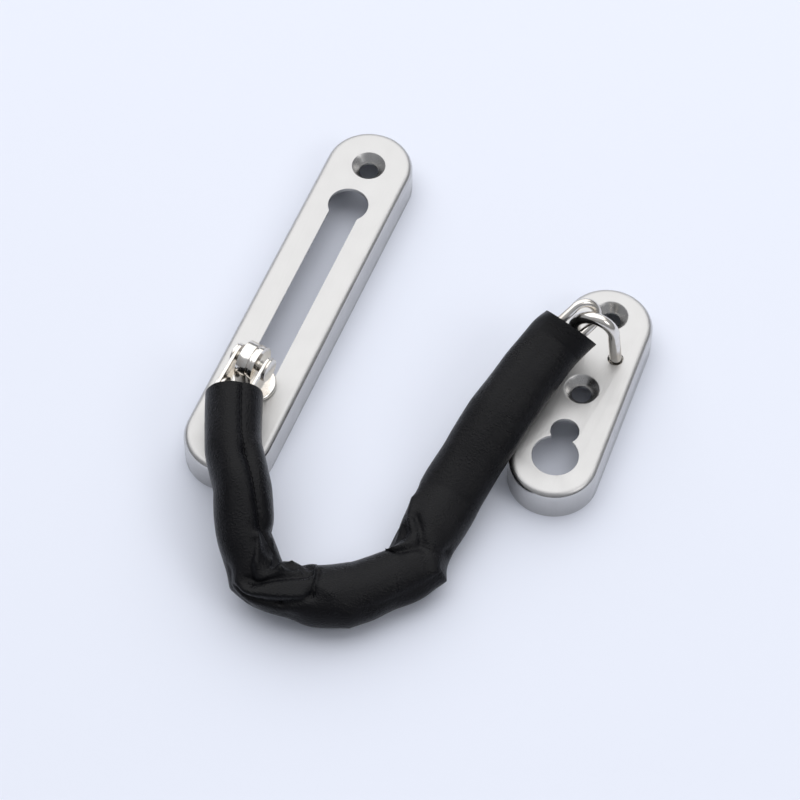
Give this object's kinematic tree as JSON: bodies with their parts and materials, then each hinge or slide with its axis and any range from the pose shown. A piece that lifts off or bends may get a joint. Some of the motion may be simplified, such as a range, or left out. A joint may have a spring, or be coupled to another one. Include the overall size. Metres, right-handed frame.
{
  "type": "door chain guard",
  "caption": "Door chain guard: a slotted track plate with a slider, a steel chain in a black leather sleeve, and a keeper plate with a staple.",
  "frame": {"origin": "middle of the track plate's back, where it meets the door or frame", "axes": "+Y along the track plate towards its keyhole, +Z out of the door face, the keeper plate lies towards +X"},
  "size_m": [0.1094, 0.1577, 0.0295],
  "materials": {
    "satin_steel": "satin brushed stainless steel with polished rounded edges",
    "polished_steel": "polished nickel plated steel",
    "black_leather": "black leather with a fine grain and a soft sheen"
  },
  "bodies": {
    "track": {"track_plate": "satin_steel"},
    "slider": {"slider_stud": "polished_steel"},
    "eye": {"slider_eye": "polished_steel"},
    "straps": {"strap_left": "polished_steel", "strap_right": "polished_steel", "eye_rivet": "polished_steel", "shackle_rivet": "polished_steel"},
    "shackle": {"shackle": "polished_steel"},
    "link_01": {"chain_link_01": "polished_steel", "sleeve_01": "black_leather"},
    "link_02": {"chain_link_02": "polished_steel", "sleeve_02": "black_leather"},
    "link_03": {"chain_link_03": "polished_steel", "sleeve_03": "black_leather"},
    "link_04": {"chain_link_04": "polished_steel", "sleeve_04": "black_leather"},
    "link_05": {"chain_link_05": "polished_steel", "sleeve_05": "black_leather"},
    "link_06": {"chain_link_06": "polished_steel", "sleeve_06": "black_leather"},
    "link_07": {"chain_link_07": "polished_steel", "sleeve_07": "black_leather"},
    "link_08": {"chain_link_08": "polished_steel", "sleeve_08": "black_leather"},
    "link_09": {"chain_link_09": "polished_steel", "sleeve_09": "black_leather"},
    "link_10": {"chain_link_10": "polished_steel", "sleeve_10": "black_leather"},
    "link_11": {"chain_link_11": "polished_steel", "sleeve_11": "black_leather"},
    "link_12": {"chain_link_12": "polished_steel", "sleeve_12": "black_leather"},
    "link_13": {"chain_link_13": "polished_steel", "sleeve_13": "black_leather"},
    "link_14": {"chain_link_14": "polished_steel", "sleeve_14": "black_leather"},
    "keeper": {"keeper_plate": "satin_steel", "staple": "polished_steel"}
  },
  "joints": [
    {"name": "slider_slide", "type": "slide", "parent": "track", "child": "slider", "axis": [0, 1, 0], "range_m": [0, 0.0666]},
    {"name": "eye_swivel", "type": "hinge", "parent": "slider", "child": "eye", "pos_m": [0, -0.0326, 0.02115], "axis": [0, 0, 1], "range_deg": [-30, 30]},
    {"name": "strap_pitch", "type": "hinge", "parent": "eye", "child": "straps", "pos_m": [0, -0.0326, 0.02115], "axis": [-0.9903, 0.1392, 0], "range_deg": [0, 60]},
    {"name": "shackle_pitch", "type": "hinge", "parent": "straps", "child": "shackle", "pos_m": [-0.00134, -0.04212, 0.0184], "axis": [-0.9903, 0.1392, 0], "range_deg": [0, 40]},
    {"name": "chain_turn_01", "type": "hinge", "parent": "shackle", "child": "link_01", "pos_m": [-0.0021, -0.04757, 0.0184], "axis": [0, 0, 1], "range_deg": [-60, 2], "deforming": ["sleeve_01"]},
    {"name": "chain_lift_02", "type": "hinge", "parent": "link_01", "child": "link_02", "pos_m": [0.00516, -0.05834, 0.01808], "axis": [-0.848, -0.5299, 0], "range_deg": [-15, 25], "deforming": ["sleeve_02"]},
    {"name": "chain_turn_03", "type": "hinge", "parent": "link_02", "child": "link_03", "pos_m": [0.01203, -0.06934, 0.01712], "axis": [0, 0, 1], "range_deg": [-30, 10], "deforming": ["sleeve_03"]},
    {"name": "chain_lift_04", "type": "hinge", "parent": "link_03", "child": "link_04", "pos_m": [0.01828, -0.08015, 0.0135], "axis": [-0.6157, -0.788, 0], "range_deg": [-15, 20], "deforming": ["sleeve_04"]},
    {"name": "chain_turn_05", "type": "hinge", "parent": "link_04", "child": "link_05", "pos_m": [0.02777, -0.08756, 0.00861], "axis": [0, 0, 1], "range_deg": [-50, 5], "deforming": ["sleeve_05"]},
    {"name": "chain_lift_06", "type": "hinge", "parent": "link_05", "child": "link_06", "pos_m": [0.0407, -0.08756, 0.00723], "axis": [0.5446, -0.8387, 0], "range_deg": [-10, 15], "deforming": ["sleeve_06"]},
    {"name": "chain_turn_07", "type": "hinge", "parent": "link_06", "child": "link_07", "pos_m": [0.0516, -0.08049, 0.00702], "axis": [0, 0, 1], "range_deg": [-35, 5], "deforming": ["sleeve_07"]},
    {"name": "chain_lift_08", "type": "hinge", "parent": "link_07", "child": "link_08", "pos_m": [0.0596, -0.07024, 0.00681], "axis": [0.9925, -0.1219, 0], "range_deg": [-10, 15], "deforming": ["sleeve_08"]},
    {"name": "chain_turn_09", "type": "hinge", "parent": "link_08", "child": "link_09", "pos_m": [0.06118, -0.05734, 0.00691], "axis": [0, 0, 1], "range_deg": [-25, 5], "deforming": ["sleeve_09"]},
    {"name": "chain_lift_10", "type": "hinge", "parent": "link_09", "child": "link_10", "pos_m": [0.06231, -0.04443, 0.00797], "axis": [0.9848, -0.1736, 0], "range_deg": [-10, 15], "deforming": ["sleeve_10"]},
    {"name": "chain_turn_11", "type": "hinge", "parent": "link_10", "child": "link_11", "pos_m": [0.06448, -0.03213, 0.01158], "axis": [0, 0, 1], "range_deg": [-20, 5], "deforming": ["sleeve_11"]},
    {"name": "chain_lift_12", "type": "hinge", "parent": "link_11", "child": "link_12", "pos_m": [0.06685, -0.01997, 0.0155], "axis": [0.9744, -0.225, 0], "range_deg": [-10, 15], "deforming": ["sleeve_12"]},
    {"name": "chain_turn_13", "type": "hinge", "parent": "link_12", "child": "link_13", "pos_m": [0.06971, -0.00754, 0.01804], "axis": [0, 0, 1], "range_deg": [-3, 5], "deforming": ["sleeve_13"]},
    {"name": "chain_lift_14", "type": "hinge", "parent": "link_13", "child": "link_14", "pos_m": [0.07323, 0.00473, 0.02048], "axis": [0.848, -0.5299, 0], "range_deg": [0, 11], "deforming": ["sleeve_14"]},
    {"name": "keeper_swing", "type": "hinge", "parent": "link_14", "child": "keeper", "pos_m": [0.07815, 0.01259, 0.02471], "axis": [0.7425, 0.0298, 0.6691], "range_deg": [0, 12]}
  ]
}
